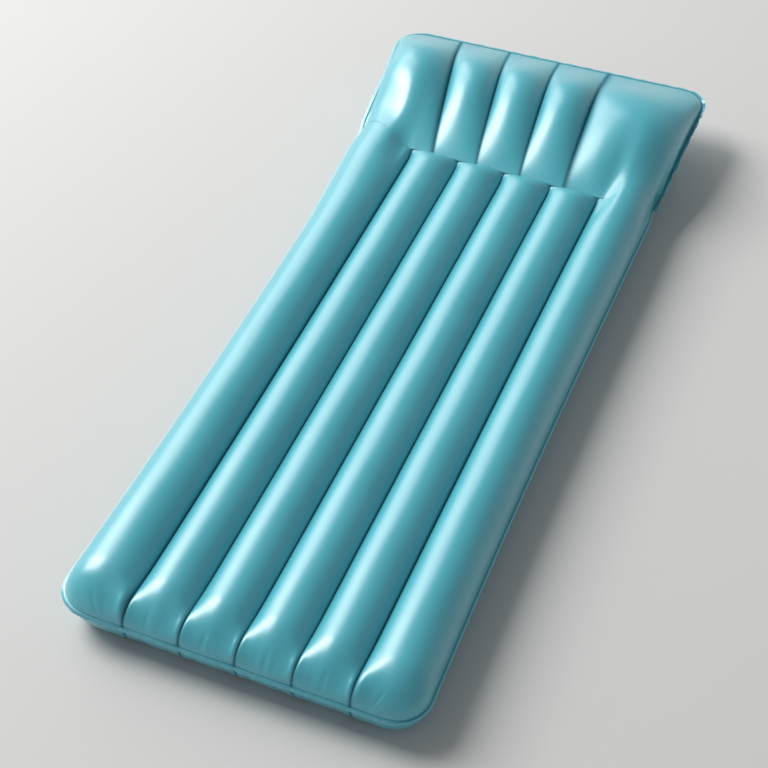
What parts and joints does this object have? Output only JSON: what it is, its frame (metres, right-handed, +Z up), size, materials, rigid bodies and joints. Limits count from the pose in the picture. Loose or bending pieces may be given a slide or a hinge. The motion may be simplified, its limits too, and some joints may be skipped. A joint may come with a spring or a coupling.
{
  "type": "inflatable pool air mattress",
  "caption": "Inflatable pool mattress of welded film: lengthwise air cells, raised pillow at the head, upright inner ribs and push-in valves low on the left side.",
  "frame": {"origin": "on the ground, under the middle of the mattress's bounding box", "axes": "+X to the right side, +Y along the mattress to the head end with the pillow, +Z up"},
  "size_m": [0.76, 1.8439, 0.1863],
  "materials": {
    "bed_top": "glossy soft vinyl film",
    "bed_bottom": "glossy soft vinyl film",
    "pillow_top": "glossy soft vinyl film",
    "pillow_bottom": "glossy soft vinyl film",
    "rib": "glossy soft vinyl film",
    "valve": "soft pale vinyl, moulded"
  },
  "bodies": {
    "mattress": {"bed_top_sheet": "bed_top", "bed_bottom_sheet": "bed_bottom", "pillow_top_sheet": "pillow_top", "pillow_bottom_sheet": "pillow_bottom", "bed_rib_1": "rib", "bed_rib_2": "rib", "bed_rib_3": "rib", "bed_rib_4": "rib", "bed_rib_5": "rib", "pillow_rib_1": "rib", "pillow_rib_2": "rib", "pillow_rib_3": "rib", "pillow_rib_4": "rib", "partition": "rib", "bed_valve_base": "valve", "pillow_valve_base": "valve"},
    "bed_stem": {"bed_valve_stem": "valve"},
    "bed_plug": {"bed_valve_plug": "valve"},
    "bed_flap": {"bed_valve_flap": "valve"},
    "pillow_stem": {"pillow_valve_stem": "valve"},
    "pillow_plug": {"pillow_valve_plug": "valve"},
    "pillow_flap": {"pillow_valve_flap": "valve"}
  },
  "joints": [
    {"name": "bed_stem_pull", "type": "slide", "parent": "mattress", "child": "bed_stem", "axis": [-0.7341, 0, -0.679], "range_m": [0, 0.01]},
    {"name": "bed_plug_swing", "type": "hinge", "parent": "bed_stem", "child": "bed_plug", "pos_m": [-0.32215, -0.74207, 0.02184], "axis": [0.679, 0, -0.7341], "range_deg": [0, 120]},
    {"name": "bed_flap_swing", "type": "hinge", "parent": "bed_stem", "child": "bed_flap", "pos_m": [-0.30937, -0.75727, 0.03365], "axis": [0.679, 0, -0.7341], "range_deg": [0, 45], "stiffness_Nm_per_rad": 0.0005},
    {"name": "pillow_stem_pull", "type": "slide", "parent": "mattress", "child": "pillow_stem", "axis": [-0.6326, 0.089, -0.7694], "range_m": [0, 0.01]},
    {"name": "pillow_plug_swing", "type": "hinge", "parent": "pillow_stem", "child": "pillow_plug", "pos_m": [-0.32389, 0.71063, 0.03931], "axis": [0.7745, 0.0727, -0.6284], "range_deg": [0, 120]},
    {"name": "pillow_flap_swing", "type": "hinge", "parent": "pillow_stem", "child": "pillow_flap", "pos_m": [-0.31289, 0.69398, 0.05095], "axis": [0.7745, 0.0727, -0.6284], "range_deg": [0, 45], "stiffness_Nm_per_rad": 0.0005}
  ]
}
